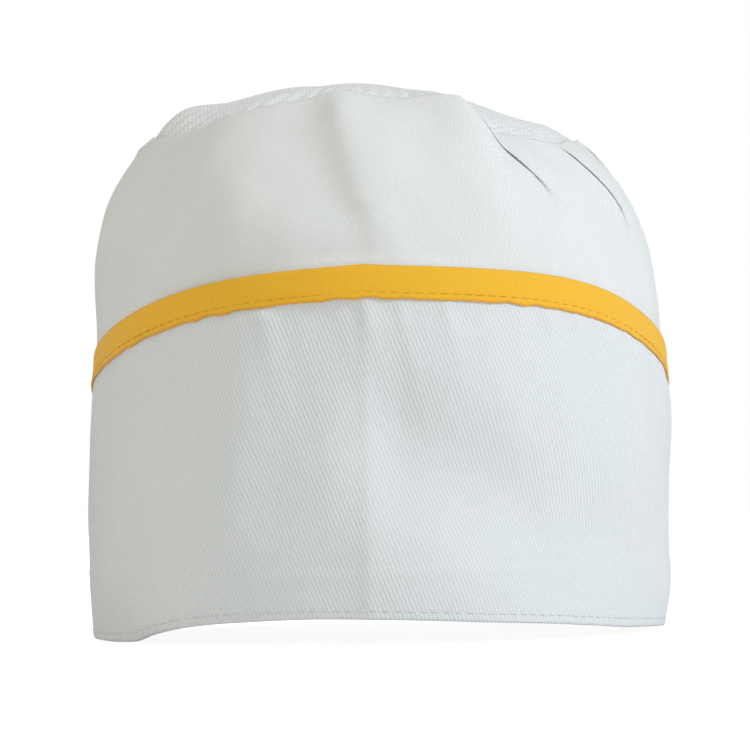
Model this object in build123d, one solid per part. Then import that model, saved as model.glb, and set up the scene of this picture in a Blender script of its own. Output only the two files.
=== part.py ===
"""Soft chef's cap: a tall stiffened band with a coloured trim tape, a gathered crown wall, a net top
and a hook-and-loop strap across an opening at the back.

Millimetres, +Z up. The wearer's brow faces -Y, and the cap stands on its hem at Z = 0. In plan the band
is an ellipse, and every layer is an ellipse at some offset from the band's outside: plus is outwards.
A place round the band is the ellipse's parameter angle, 0 at the middle of the back and 180 at the brow.
"""

from build123d import *
import math
import os

# ---- driving dimensions ----
BAND_WIDTH = 174.6  # outside of the band, across X
BAND_LENGTH = 196.0  # outside of the band, along Y
SEAM_AT_SIDES = 82.8  # height of the seam between band and crown
SEAM_RISE = 22.0  # how much higher the seam is at the brow, and lower at the back
BROW_ARCH = 7.0  # how far the hem lifts over the brow
ARCH_LEFT, ARCH_RIGHT = -72.0, 84.0  # where the lifted stretch of the hem starts and ends, along X
TOP = 164.8  # crest of the net top

TWILL = 0.5  # one layer of twill
LAYER_GAP = 0.05  # left between two layers that aren't the same ellipse
STIFFENER = 0.6  # room for the stiffener inside the band
STIFFENER_DROP = 0.4  # from the seam allowance down to the stiffener
TOWELLING = 0.8
TRIM_THICK = 0.8  # folded tape
TRIM_TALL = 10.0
SWEATBAND_TOP = 20.0
SEAM_ALLOWANCE = 10.0

SHOULDER_START = 106.8  # height where the crown wall leaves the vertical
SHOULDER_RADIUS = 53.0
SHOULDER_ANGLE = 58.5  # degrees of the shoulder's arc, up to the net's seam
NET_THICK = 0.5
NET_LAP = 6.0  # degrees of the shoulder's arc that the net runs on inside the wall
TAPE_BELOW, TAPE_ABOVE = 3.0, 1.5  # degrees that the seam tape runs past the net, and stops short of the rim

OPENING = 52.0  # width of the opening at the back
BINDING_TALL = 8.0
BINDING_PLY = 0.45
BINDING_DEEP = 1.5  # over both plies and the crown wall between them
STRAP_BOTTOM, STRAP_TOP = 6.0, 46.0
STRAP_THICK = 0.9
STRAP_CORNER = 8.0
HINGE_AT = 17.0  # degrees round the band
STRAP_END = -46.8
STRAP_RISEN = -12.0  # from here on the strap lies over the patches
ANCHOR_LEFT, ANCHOR_RIGHT = 26.4, 38.4  # the sewn-down end of the strap, along X
PATCH_EDGE = 2.0  # from the strap's edges to the loop patch's
HOOK_EDGE = 3.0
LOOP_THICK, HOOK_THICK = 1.15, 1.0
PATCH_CLEARANCE = 0.6  # between hook and loop, where the loop patch's stitches lie
LOOP_LEFT, LOOP_RIGHT = -66.0, -28.0
HOOK_LEFT, HOOK_RIGHT = -64.0, -34.0
LABEL_THICK = 0.25  # folded
LABEL_FRONT, LABEL_BACK = 20.0, 46.0  # behind the plan's centre
LABEL_OVER = 4.0  # from the sweatband up to the label
LABEL_TALL = 34.0

STITCH = 2.6  # length of one stitch
STITCH_PITCH = 3.5
THREAD = 0.45
THREAD_THICK = 0.28
HEM_STITCH_UP = 2.5  # above the hem
TRIM_STITCH_UP = 2.2  # above the trim's lower edge
VENT_STITCH_DOWN = 2.0  # under the binding's upper edge
END_CLEAR = 1.5  # degrees from the opening to the nearest stitch of the long rows
FRAME_IN = 2.5  # from a patch's upright edges to its stitches
FRAME_TURN = 0.6  # degrees from a frame's level rows out to its upright rows
LOOP_FRAME_IN = 1.5  # from the loop patch's level edges to its stitches
STRAP_FRAME_IN = 5.0

# ---- worked out ----
A, B = BAND_WIDTH / 2, BAND_LENGTH / 2
SLOPE = SEAM_RISE / B
STIFFENER_IN = -TWILL - STIFFENER  # offset of the lining's outside
LINING_IN = STIFFENER_IN - TWILL
LOOP_OUT = LAYER_GAP + LOOP_THICK
HOOK_IN = LOOP_OUT + PATCH_CLEARANCE
STRAP_IN = HOOK_IN + HOOK_THICK + LAYER_GAP
FAR = 150.0  # beyond the cap in plan


# ---- places ----
def seam_height(y, above=0.0):
    return SEAM_AT_SIDES - SLOPE * y + above


def hem_height(x, y):
    """The hem is flat at Z = 0 but for the arch over the brow."""
    half = (ARCH_RIGHT - ARCH_LEFT) / 2
    from_middle = x - (ARCH_RIGHT + ARCH_LEFT) / 2
    if y > 0 or abs(from_middle) > half:
        return 0.0
    radius = arch_radius()
    return BROW_ARCH - radius + math.sqrt(radius**2 - from_middle**2)


def arch_radius():
    half = (ARCH_RIGHT - ARCH_LEFT) / 2
    return (half**2 + BROW_ARCH**2) / (2 * BROW_ARCH)


def around(degrees, offset=0.0):
    """(point, outward normal, tangent) in plan, at an angle round the band."""
    t = math.radians(degrees)
    normal = Vector(math.sin(t) / A, math.cos(t) / B, 0).normalized()
    point = Vector(A * math.sin(t), B * math.cos(t), 0) + normal * offset
    return point, normal, Vector(normal.Y, -normal.X, 0)


# ---- cutting tools ----
def block(x, y, z):
    """A box from its (low, high) along X, Y and Z."""
    size = [high - low for low, high in (x, y, z)]
    centre = [(high + low) / 2 for low, high in (x, y, z)]
    return Pos(*centre) * Box(*size)


def under_seam(above=0.0):
    """All that lies under the seam's slanting plane, or under that plane moved up."""
    plane = Plane(origin=(0, 0, SEAM_AT_SIDES + above), z_dir=(0, SLOPE, 1))
    return plane * Box(4 * FAR, 4 * FAR, 2 * FAR, align=(Align.CENTER, Align.CENTER, Align.MAX))


def under_hem(lift=0.0):
    """All that lies under the hem's line, or under that line moved up."""
    radius = arch_radius()
    middle = (ARCH_RIGHT + ARCH_LEFT) / 2
    drum = Rot(90, 0, 0) * Cylinder(radius, FAR)
    drum = Pos(middle, -FAR / 2, BROW_ARCH + lift - radius) * drum
    flat = block((-FAR, FAR), (-FAR, FAR), (lift - 50, lift))
    return flat + (drum & block((-FAR, FAR), (-FAR, FAR), (-50, BROW_ARCH + lift + 1)))


def behind(x0, x1, z0=-10.0, z1=200.0):
    """The back of the cap between two X planes."""
    return block((x0, x1), (0, FAR), (z0, z1))


def opening(margin=0.0):
    return behind(-OPENING / 2 - margin, OPENING / 2 + margin)


def ring(outer, inner, z0=-5.0, z1=130.0):
    """An elliptical tube between two offsets from the band's outside."""
    face = Ellipse(A + outer, B + outer) - Ellipse(A + inner, B + inner)
    return Pos(0, 0, z0) * extrude(face, z1 - z0)


# ---- the band ----
def band_outer():
    """Outer twill, turned in under the hem and round both ends of the opening."""
    wall = ring(0, -TWILL) - under_hem()
    turned = ring(-TWILL, LINING_IN) - under_hem()
    lip = turned & under_hem(TWILL)
    ends = turned & (opening(TWILL) - opening())
    return ((wall + lip + ends) & under_seam()) - opening()


def band_layer(outer, inner, top):
    """A layer inside the band, from just over the turned hem up to a line under the seam."""
    layer = ring(outer, inner) - under_hem(TWILL + LAYER_GAP)
    return (layer & under_seam(top)) - opening(TWILL + LAYER_GAP)


def band_stiffener():
    return band_layer(-TWILL - LAYER_GAP, STIFFENER_IN + LAYER_GAP, -SEAM_ALLOWANCE - STIFFENER_DROP)


def band_lining():
    return band_layer(STIFFENER_IN, LINING_IN, 0)


def sweatband():
    strip = ring(LINING_IN - LAYER_GAP, LINING_IN - LAYER_GAP - TOWELLING, 0, SWEATBAND_TOP)
    return strip - under_hem(TWILL + LAYER_GAP) - opening(TWILL)


def trim_tape():
    tape = ring(TRIM_THICK, LAYER_GAP / 2)
    return (tape & under_seam()) - under_seam(-TRIM_TALL) - opening()


# ---- the crown ----
def shoulder_point(radius, degrees):
    """A point of the crown's profile at the back, as (distance from the axis, height)."""
    centre = B - TWILL - LAYER_GAP - SHOULDER_RADIUS
    angle = math.radians(degrees)
    return centre + radius * math.cos(angle), SHOULDER_START + radius * math.sin(angle)


def shoulder_arc(radius, start, end):
    return ThreePointArc(*(shoulder_point(radius, a) for a in (start, (start + end) / 2, end)))


def turned_profile(*edges):
    """Turns a closed profile, drawn as (distance, height), about Z and narrows it to the band's shape."""
    face = Plane.XZ * make_face(Curve() + list(edges))
    narrow = (A - TWILL - LAYER_GAP) / (B - TWILL - LAYER_GAP)
    return scale(revolve(face, Axis.Z), by=(narrow, 1, 1))


def crown_wall():
    outside, inside = SHOULDER_RADIUS, SHOULDER_RADIUS - TWILL
    bottom = SEAM_AT_SIDES - SEAM_RISE - 2 * SEAM_ALLOWANCE
    foot_out = (shoulder_point(outside, 0)[0], bottom)
    foot_in = (shoulder_point(inside, 0)[0], bottom)
    wall = turned_profile(
        Line(foot_in, foot_out),
        Line(foot_out, shoulder_point(outside, 0)),
        shoulder_arc(outside, 0, SHOULDER_ANGLE),
        Line(shoulder_point(outside, SHOULDER_ANGLE), shoulder_point(inside, SHOULDER_ANGLE)),
        shoulder_arc(inside, SHOULDER_ANGLE, 0),
        Line(shoulder_point(inside, 0), foot_in),
    )
    bound_edge = under_seam(TWILL + LAYER_GAP) & opening(TWILL + LAYER_GAP)
    return wall - under_seam(-SEAM_ALLOWANCE) - bound_edge


def dome_arc(rim, crest):
    """From a rim to a crest on the axis, level at the crest."""
    run, rise = rim[0], crest - rim[1]
    radius = (run**2 + rise**2) / (2 * rise)
    half = math.asin(run / radius) / 2
    middle = (radius * math.sin(half), crest - radius + radius * math.cos(half))
    return ThreePointArc(rim, middle, (0, crest))


def net_top():
    """Net dome, with its edge run on inside the crown wall."""
    outside = SHOULDER_RADIUS - TWILL - LAYER_GAP
    inside = outside - NET_THICK
    lap = SHOULDER_ANGLE - NET_LAP
    rim_out, rim_in = (shoulder_point(r, SHOULDER_ANGLE) for r in (outside, inside))
    return turned_profile(
        Line(shoulder_point(inside, lap), shoulder_point(outside, lap)),
        shoulder_arc(outside, lap, SHOULDER_ANGLE),
        dome_arc(rim_out, TOP),
        Line((0, TOP), (0, TOP - NET_THICK)),
        dome_arc(rim_in, TOP - NET_THICK),
        shoulder_arc(inside, SHOULDER_ANGLE, lap),
    )


def crown_seam_binding():
    """Tape inside the crown, over the raw edges of the net's seam."""
    outside = SHOULDER_RADIUS - TWILL - NET_THICK - 2 * LAYER_GAP
    inside = outside - TWILL
    low, high = SHOULDER_ANGLE - NET_LAP - TAPE_BELOW, SHOULDER_ANGLE - TAPE_ABOVE
    return turned_profile(
        Line(shoulder_point(inside, low), shoulder_point(outside, low)),
        shoulder_arc(outside, low, high),
        Line(shoulder_point(outside, high), shoulder_point(inside, high)),
        shoulder_arc(inside, high, low),
    )


# ---- the opening and its closure ----
def vent_binding():
    """Tape folded over the crown's lower edge, across the opening."""
    outer, inner = -LAYER_GAP, -LAYER_GAP - BINDING_DEEP
    fold = ring(outer, inner) & under_seam(TWILL)
    plies = ring(outer, outer - BINDING_PLY) + ring(inner + BINDING_PLY, inner)
    legs = plies & under_seam(BINDING_TALL)
    return ((fold + legs) - under_seam()) & opening(-2 * LAYER_GAP)


def patch(inner, thick, left, right, edge=PATCH_EDGE):
    strip = ring(inner + thick, inner, STRAP_BOTTOM + edge, STRAP_TOP - edge)
    return strip & behind(left, right)


def loop_patch():
    return patch(LAYER_GAP, LOOP_THICK, LOOP_LEFT, LOOP_RIGHT)


def hook_patch():
    return patch(HOOK_IN, HOOK_THICK, HOOK_LEFT, HOOK_RIGHT, HOOK_EDGE)


def strap_anchor():
    return patch(LAYER_GAP, STRAP_THICK, ANCHOR_LEFT, ANCHOR_RIGHT, 0)


def strap_offset(degrees):
    """The strap's inner face starts on the band at the hinge and rises to lie over the patches."""
    share = min(1.0, (HINGE_AT - degrees) / (HINGE_AT - STRAP_RISEN))
    return LAYER_GAP + (STRAP_IN - LAYER_GAP) * share * share * (3 - 2 * share)


def strap():
    steps = 16
    angles = [HINGE_AT + (STRAP_END - HINGE_AT) * i / steps for i in range(steps + 1)]
    inner = Spline([around(a, strap_offset(a))[0] for a in angles])
    outer = Spline([around(a, strap_offset(a) + STRAP_THICK)[0] for a in angles])
    face = make_face(Curve() + [inner, outer, Line(inner @ 0, outer @ 0), Line(inner @ 1, outer @ 1)])
    body = Pos(0, 0, STRAP_BOTTOM) * extrude(face, STRAP_TOP - STRAP_BOTTOM)
    tips = body.edges().sort_by(Axis.X).filter_by(lambda e: abs(e.length - STRAP_THICK) < 0.1)[:2]
    return fillet(tips, STRAP_CORNER)


def care_label():
    """Folded care label, sewn to the lining on the left."""
    outer, bottom = LINING_IN - LAYER_GAP, SWEATBAND_TOP + LABEL_OVER
    leaf = ring(outer, outer - LABEL_THICK, bottom, bottom + LABEL_TALL)
    return leaf & block((-FAR, 0), (LABEL_FRONT, LABEL_BACK), (0, FAR))


# ---- stitching ----
def stitch(degrees, height, offset, upright=False):
    """One stitch lying on a surface at that offset, level or upright."""
    point, normal, tangent = around(degrees, offset + THREAD_THICK / 2 + LAYER_GAP / 2)
    place = Plane(origin=point + Vector(0, 0, height), x_dir=tangent, z_dir=normal)
    size = (THREAD, STITCH) if upright else (STITCH, THREAD)
    return place * Box(*size, THREAD_THICK)


def degrees_apart(start, end, pitch):
    """Angles from start to end, about pitch apart along the band."""
    found, angle = [start], start
    while True:
        t = math.radians(angle)
        angle += math.degrees(pitch / math.hypot(A * math.cos(t), B * math.sin(t)))
        if angle > end:
            return found
        found.append(angle)


def angle_at(x):
    """The angle of a point of the back, from its X."""
    return math.degrees(math.asin(x / A))


def row(height, offset, start, end):
    """A level row of stitches between two angles. height is a function of the point in plan."""
    angles = degrees_apart(start, end, STITCH_PITCH)
    return [stitch(a, height(around(a)[0]), offset) for a in angles]


def frame_of_stitches(x0, x1, z0, z1, offset):
    """Rows round a patch: two level and two upright."""
    start, end = angle_at(x0), angle_at(x1)
    level = [s for z in (z0, z1) for s in row(lambda p, z=z: z, offset, start, end)]
    count = int((z1 - z0) / STITCH_PITCH)
    rises = [z0 + (z1 - z0) * (i + 0.5) / count for i in range(count)]
    sides = (start - FRAME_TURN, end + FRAME_TURN)
    return level + [stitch(a, z, offset, True) for a in sides for z in rises]


def hem_stitching():
    clear = angle_at(OPENING / 2) + END_CLEAR
    return row(lambda p: hem_height(p.X, p.Y) + HEM_STITCH_UP, 0, clear, 360 - clear)


def trim_stitching():
    clear = angle_at(OPENING / 2) + END_CLEAR
    up = TRIM_STITCH_UP - TRIM_TALL
    return row(lambda p: seam_height(p.Y, up), TRIM_THICK, clear, 360 - clear)


def vent_stitching():
    clear = angle_at(OPENING / 2) - END_CLEAR
    up = BINDING_TALL - VENT_STITCH_DOWN
    return row(lambda p: seam_height(p.Y, up), -LAYER_GAP, -clear, clear)


def loop_patch_stitching():
    edge = PATCH_EDGE + LOOP_FRAME_IN
    z0, z1 = STRAP_BOTTOM + edge, STRAP_TOP - edge
    return frame_of_stitches(LOOP_LEFT + FRAME_IN, LOOP_RIGHT - FRAME_IN, z0, z1, LOOP_OUT)


def anchor_stitching():
    z0, z1 = STRAP_BOTTOM + FRAME_IN, STRAP_TOP - FRAME_IN
    x0, x1 = ANCHOR_LEFT + FRAME_IN, ANCHOR_RIGHT - FRAME_IN
    return frame_of_stitches(x0, x1, z0, z1, LAYER_GAP + STRAP_THICK)


def strap_stitching():
    z0, z1 = STRAP_BOTTOM + STRAP_FRAME_IN, STRAP_TOP - STRAP_FRAME_IN
    x0, x1 = HOOK_LEFT + FRAME_IN, HOOK_RIGHT - FRAME_IN
    return frame_of_stitches(x0, x1, z0, z1, STRAP_IN + STRAP_THICK)


NODES = {
    "band_outer": band_outer,
    "band_stiffener": band_stiffener,
    "band_lining": band_lining,
    "sweatband": sweatband,
    "trim_tape": trim_tape,
    "crown_wall": crown_wall,
    "net_top": net_top,
    "crown_seam_binding": crown_seam_binding,
    "vent_binding": vent_binding,
    "loop_patch": loop_patch,
    "strap_anchor": strap_anchor,
    "strap": strap,
    "hook_patch": hook_patch,
    "care_label": care_label,
    "hem_stitching": hem_stitching,
    "trim_stitching": trim_stitching,
    "vent_stitching": vent_stitching,
    "loop_patch_stitching": loop_patch_stitching,
    "anchor_stitching": anchor_stitching,
    "strap_stitching": strap_stitching,
}


def back_shift():
    """The strap stands out further behind than the trim's stitches do in front: half of the difference."""
    return (strap_offset(0) + STRAP_THICK - TRIM_THICK - THREAD_THICK) / 2


def main():
    os.makedirs("parts", exist_ok=True)
    shift = back_shift()
    for name, make in NODES.items():
        made = make()
        solids = made if isinstance(made, list) else made.solids()
        shifted = Compound(children=[Pos(0, -shift, 0) * s for s in solids])
        export_step(shifted, f"parts/{name}.step")
    pivot = around(HINGE_AT, LAYER_GAP + STRAP_THICK)[0]
    print(f"strap hinge axis at X {pivot.X:.3f}, Y {pivot.Y - shift:.3f}")
    print(f"the plan's centre is at Y {-shift:.3f}")


main()
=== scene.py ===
"""Looks of a soft chef's cap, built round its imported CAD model.

Lengths are in millimetres until a mesh is made, and then in metres. Round the cap, a place is s: the
distance along the band's outside from the middle of the brow, positive towards +X. z is the height.
Every layer of the band shares one swell, and every layer of the crown shares one set of dents, so the
layers stay in order. Offsets count outwards, from the band's outside or from the middle of the crown's
cloth.
"""

import math

import bpy
import numpy as np
from mathutils import Matrix, Vector


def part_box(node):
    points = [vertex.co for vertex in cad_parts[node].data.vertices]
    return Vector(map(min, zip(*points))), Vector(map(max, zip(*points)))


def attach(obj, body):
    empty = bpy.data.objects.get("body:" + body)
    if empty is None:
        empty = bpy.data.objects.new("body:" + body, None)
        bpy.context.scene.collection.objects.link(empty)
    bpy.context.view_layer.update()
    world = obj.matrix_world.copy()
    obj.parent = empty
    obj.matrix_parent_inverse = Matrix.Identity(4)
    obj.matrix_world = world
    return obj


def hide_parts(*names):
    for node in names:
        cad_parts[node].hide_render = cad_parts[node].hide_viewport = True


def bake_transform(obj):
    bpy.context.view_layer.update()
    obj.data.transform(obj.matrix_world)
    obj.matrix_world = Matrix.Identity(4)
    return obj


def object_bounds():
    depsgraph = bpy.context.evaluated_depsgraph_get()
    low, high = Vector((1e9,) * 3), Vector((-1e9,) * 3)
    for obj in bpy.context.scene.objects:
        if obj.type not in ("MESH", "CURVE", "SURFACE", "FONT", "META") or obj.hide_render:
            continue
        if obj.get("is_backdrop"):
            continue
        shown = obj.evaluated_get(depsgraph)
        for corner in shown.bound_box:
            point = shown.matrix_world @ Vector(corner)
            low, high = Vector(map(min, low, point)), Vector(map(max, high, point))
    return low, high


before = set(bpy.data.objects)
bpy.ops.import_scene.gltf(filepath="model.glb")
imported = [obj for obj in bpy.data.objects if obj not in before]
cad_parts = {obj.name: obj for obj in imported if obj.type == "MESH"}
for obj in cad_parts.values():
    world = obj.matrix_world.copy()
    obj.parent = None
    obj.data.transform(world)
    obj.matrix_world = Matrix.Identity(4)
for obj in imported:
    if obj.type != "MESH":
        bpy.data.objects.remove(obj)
cad_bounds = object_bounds()

MM = 0.001
TURN = 2 * math.pi


def corners(node):
    """Lowest and highest corner of a CAD node, in millimetres."""
    return [np.array(corner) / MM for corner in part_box(node)]


# ---- sizes, from the frame where a node has them ----
band_low, band_high = corners("band_outer")
crown_low, crown_high = corners("crown_wall")
sweat_high = corners("sweatband")[1]
CREST = corners("net_top")[1][2]  # top of the net

A = band_high[0]  # half the plan's width
CENTRE_Y = (crown_low[1] + crown_high[1]) / 2
B = CENTRE_Y - band_low[1]  # half the plan's depth
SEAM_FRONT, SEAM_BACK = band_high[2], corners("vent_binding")[0][2]
GAP = 26.0  # half the width of the opening at the back
LAYER_GAP = 0.05
TWILL = 0.5
TRIM_TALL, TRIM_THICK, TRIM_PLY = 9.5, 0.64, 0.28
BINDING_THICK, TAPE_PLY = 1.5, 0.42
CROWN_PLY = 0.27
CROWN_IN = -0.8  # the middle of the crown's cloth, from the band's outside
SEAM_TAPE_IN = -1.15
STIFFENER_IN, LINING_IN, SWEAT_IN = -0.55, -1.1, -1.65  # the layers' outsides
TOWELLING = 0.8
HINGE_AT, STRAP_RISEN, STRAP_TIP = 17.0, -12.0, -46.8  # degrees from the middle of the back
HINGE_Z = 26.0  # the middle of the strap
STRAP_THICK, STRAP_IN, STRAP_CORNER = 0.9, 2.85, 8.0
PATCH_THICK = 0.46
LOOP_MIDDLE, LOOP_FACE = 0.3, 0.8
HOOK_MIDDLE, HOOK_TIP = 2.55, 1.8
STITCH, STITCH_PITCH = 2.6, 3.5
HEM_STITCH_UP, TRIM_STITCH_UP, VENT_STITCH_UP = 2.5, 1.9, 5.6


# ---- shaping ----
def smooth(x):
    """0 below 0, 1 above 1, and level at both."""
    x = np.clip(x, 0, 1)
    return x * x * (3 - 2 * x)


def bell(x, width):
    return np.exp(-((x / width) ** 2))


def through(points, x, period=None):
    """A smooth curve through (x, y) points that never overshoots them, repeating after a period."""
    xs, ys = np.array(points, float).T
    if period:
        x = (x - xs[0]) % period + xs[0]
        xs = chained(xs[-2:] - period, xs, xs[:2] + period)
        ys = chained(ys[-2:], ys, ys[:2])
    step = np.diff(xs)
    slope = np.diff(ys) / step
    before, after = slope[:-1], slope[1:]
    tangent = np.zeros(len(xs))
    rising = before * after > 0
    tangent[1:-1][rising] = 2 * before[rising] * after[rising] / (before + after)[rising]
    i = np.clip(np.searchsorted(xs, x, "right") - 1, 0, len(xs) - 2)
    t = np.clip((x - xs[i]) / step[i], 0, 1)
    start = (1 + 2 * t) * (1 - t) ** 2 * ys[i] + t * (1 - t) ** 2 * step[i] * tangent[i]
    end = t * t * (3 - 2 * t) * ys[i + 1] + t * t * (t - 1) * step[i] * tangent[i + 1]
    return start + end


def unevenness(points, seed, count, short, long):
    """Smooth seeded noise of about unit size, from plane waves of lengths between short and long."""
    draw = np.random.default_rng(seed)
    total = np.zeros(points.shape[:-1])
    for _ in range(count):
        length = math.exp(draw.uniform(math.log(short), math.log(long)))
        way = draw.normal(size=3)
        way /= np.linalg.norm(way)
        total += np.sin(points @ way * (TURN / length) + draw.uniform(0, TURN))
    return total / math.sqrt(count / 2)


def unit(vectors):
    return vectors / np.maximum(np.linalg.norm(vectors, axis=-1, keepdims=True), 1e-9)


def chained(*rows):
    return np.concatenate(rows)


def stacked(*values):
    """Points from coordinates of any matching shapes."""
    return np.stack(np.broadcast_arrays(*values), -1)


# ---- the plan: an ellipse and the distance round it ----
PHI = np.linspace(-math.pi, math.pi, 7201)
middles = (PHI[1:] + PHI[:-1]) / 2
ROUND = chained([0], np.cumsum(np.hypot(A * np.cos(middles), B * np.sin(middles)) * np.diff(PHI)))
GIRTH = ROUND[-1]
BACK = GIRTH / 2  # distance round of the middle of the back
ROUND -= BACK


def wrapped(s):
    return (s + BACK) % GIRTH - BACK


def angle_at(s):
    """Angle from the brow, from the distance round."""
    return np.interp(wrapped(s), ROUND, PHI)


def distance_at(degrees):
    """Distance round, from the angle from the brow."""
    return np.interp(np.radians(degrees), PHI, ROUND)


def from_back(degrees):
    """Distance round, from the angle from the middle of the back. It runs on past the middle."""
    return BACK - np.sign(degrees) * (BACK - distance_at(180 - np.abs(degrees)))


def back_x(x):
    """Distance round of a point of the back, from its X."""
    return from_back(np.degrees(np.arcsin(x / A)))


def side_y(y):
    """Distance round of a point of the -X side, from its Y."""
    return float(distance_at(-math.degrees(math.acos((CENTRE_Y - y) / B))))


def plan(s, offset=0.0):
    """Point in plan and outward normal."""
    phi = angle_at(s)
    nx, ny = np.sin(phi) / A, -np.cos(phi) / B
    size = np.hypot(nx, ny)
    nx, ny = nx / size, ny / size
    return A * np.sin(phi) + nx * offset, CENTRE_Y - B * np.cos(phi) + ny * offset, nx, ny


def seam_height(s):
    """Top of the band. It peaks a little at the press crease."""
    s = wrapped(s)
    uneven = 0.7 * np.exp(-np.abs(s) / 6) - 2.1 * bell(s + 104, 40) + 2.3 * bell(s - 70, 36)
    return SEAM_BACK + (SEAM_FRONT - SEAM_BACK) / 2 * (1 + np.cos(angle_at(s))) + uneven


HEM = [(-245, 0.9), (-200, 0), (-105, 0), (-85, 0.5), (-73, 2.8), (-59, 4.9), (-42, 6.3), (-15, 7.2), (10, 6.7)]
HEM += [(36, 5.5), (60, 4.3), (81, 3), (98, 2), (120, 1.4), (160, 0.2), (200, 0), (245, 0.9)]


def hem_height(s):
    """The hem arches over the brow, and its left corner sags to the table."""
    return through(HEM, wrapped(s))


BAND_END = wrapped(back_x(GAP))  # the band runs from -BAND_END to BAND_END


# ---- the band's swell ----
def pucker_list(seed, end, tight, loose):
    """Places, sizes, widths and lengths of the little puckers that a line of stitches makes."""
    draw = np.random.default_rng(seed)
    found, s = [], -end
    while s < end:
        found.append((s, draw.uniform(0.1, 0.42), draw.uniform(1.5, 3.4), draw.uniform(6, 19)))
        s += draw.uniform(tight, loose)
    return found


TRIM_PUCKERS = pucker_list(4, BAND_END, 4.5, 13)
CROWN_PUCKERS = pucker_list(9, BACK, 4, 12)


def puckers(found, s, away, lean):
    """Ridges that start at a stitched line and die out away from it."""
    total = np.zeros(np.broadcast(s, away).shape)
    for place, size, width, length in found:
        total += size * bell(s - place - lean * away, width) * np.exp(-np.maximum(away, 0) / length)
    return total


# height of the slanting dent in the band's front, by s
VALLEY = [(-60, -10), (-44, 18), (-34, 36), (-17, 54), (-3, 60), (8, 57), (33, 44), (65, 28), (92, 22), (120, 18)]


def pressed_edge(across, drop, run):
    """A pressed crease: on its -X side the cloth falls away from it, and comes back slowly further on."""
    left = np.minimum(across, 0)
    return -drop * (1 - np.exp(left / run)) * np.exp(left / (2.8 * run))


def soft_edge(across, slope, run):
    """A worn crease: the same, with a rounded edge and a wider hollow."""
    left = (across - np.hypot(across, 2.5)) / 2
    return slope * run * np.tanh(left / run) * np.exp(left / (2.8 * run))


def waist(s, z):
    """How far the cap draws in at the sides from under the trim on up."""
    s = wrapped(s)
    rise = smooth((z - seam_height(s) + 15) / 12)
    fall = smooth((66 - z) / 26)
    return -rise * (2.1 * bell(s + 147, 55) + 1.2 * bell(s - 147, 50)) - 1.9 * fall * bell(s - 145, 50)


def sweat_top(x, y):
    """Height of the sweatband's uneven top edge, which shows through the band."""
    return sweat_high[2] + 0.5 * unevenness(stacked(x, y, 0), 13, 5, 40, 90)


def swell(s, z):
    """How far the band's cloth stands out from the plan at its outside."""
    s = wrapped(s)
    foot, top = hem_height(s), seam_height(s) - TRIM_TALL
    up = np.clip((z - foot) / (top - foot), 0, 1)
    x, y, _, _ = plan(s)
    place = stacked(x, y, z)
    front = bell(s - 5, 85)
    out = 1.25 * np.clip(np.sin(math.pi * up), 0, 1) ** 0.8
    # the press crease down the brow, and the dent that slants down from it on both sides
    out += pressed_edge(s, 2.5, 9) + 0.3 * np.exp(-np.hypot(s - 1, 0.5) / 5)
    below = z - through(VALLEY, s)
    dent = bell(below, np.where(below > 0, 20, 24))
    dent *= smooth((s + 60) / 40) * smooth((128 - s) / 40)
    out -= (1.4 + 5.4 * smooth((s + 12) / 24)) * dent
    out += 1.2 * bell(s + 44 - 0.12 * z, 11) * smooth(up * 3)
    out += 0.6 * bell(z - foot - 12, 9) * bell(s - 147, 30) - 0.8 * bell(z - foot, 7) * bell(s - 140, 40)
    out += 0.45 * unevenness(place, 11, 7, 60, 150) + 0.1 * unevenness(place, 12, 14, 14, 34)
    out += 2.1 * puckers(TRIM_PUCKERS, s, top - z, 0.22)
    # the sweatband's ridge, and the hem, drawn in and puckered along its stitches
    sweat = sweat_top(x, y)
    out += (0.35 + 0.65 * front) * (0.4 * smooth((sweat - z) / 1.3 + 0.5) + 0.2 * bell(z - sweat, 0.8))
    out -= 2.2 * smooth((foot + 22 - z) / 22) * front
    line = 0.75 + 0.25 * np.cos(TURN * s / STITCH_PITCH)
    out -= 0.08 * line * bell(z - foot - HEM_STITCH_UP, 0.8)
    out += 0.05 * np.sin(TURN * (0.8 * s + z) / 4.6) * bell(z - foot - 1, 1.6)
    return out * smooth((top - z) / 3.5 + 0.35)


def on_band(s, z, offset=0.0):
    """Points of a layer of the band."""
    s, z, offset = np.broadcast_arrays(s, z, offset)
    x, y, nx, ny = plan(s)
    out = offset + swell(s, z) + waist(s, z)
    return stacked(x + nx * out, y + ny * out, z)


# ---- the crown's shape, keyed by the angle from the brow in degrees ----
# from the net's crest down to the rim
RIM_DROP = [(-180, 15), (-140, 16), (-110, 15.3), (-85, 14.6), (-66, 16.2), (-54, 15.6), (-43, 12.8), (-33, 10.2)]
RIM_DROP += [(-21, 7.8), (-8, 6.2), (3, 8.4), (12, 9.1), (20, 8.4), (26, 9.3), (29.5, 13.5), (34, 20), (45, 20.3)]
RIM_DROP += [(60, 21.5), (70, 19.5), (84, 18.8), (100, 17.5), (140, 16)]
# how much of the plan's size is left at the rim
RIM_SHARE = [(-180, 0.74), (-120, 0.76), (-85, 0.8), (-55, 0.745), (-34, 0.7), (-20, 0.64), (0, 0.62)]
RIM_SHARE += [(17, 0.64), (25, 0.69), (32, 0.735), (60, 0.73), (82, 0.705), (110, 0.72), (150, 0.74)]
# from the net's crest down to where the wall starts to bend inwards
SHOULDER_DROP = [(-180, 71), (-120, 61), (-90, 55), (-45, 57), (0, 58), (30, 64), (60, 71), (90, 76), (130, 74)]
RIM_ANGLE = math.radians(57)  # how far round the shoulder's arc the rim is
FOOT_TUCK = 8.0  # the crown wall goes this far down inside the band
FOOT_CLEAR = 0.5  # over the opening at the back, its foot is this far above the seam's height


def keyed(points, phi):
    return through(points, np.degrees(phi), 360)


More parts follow.
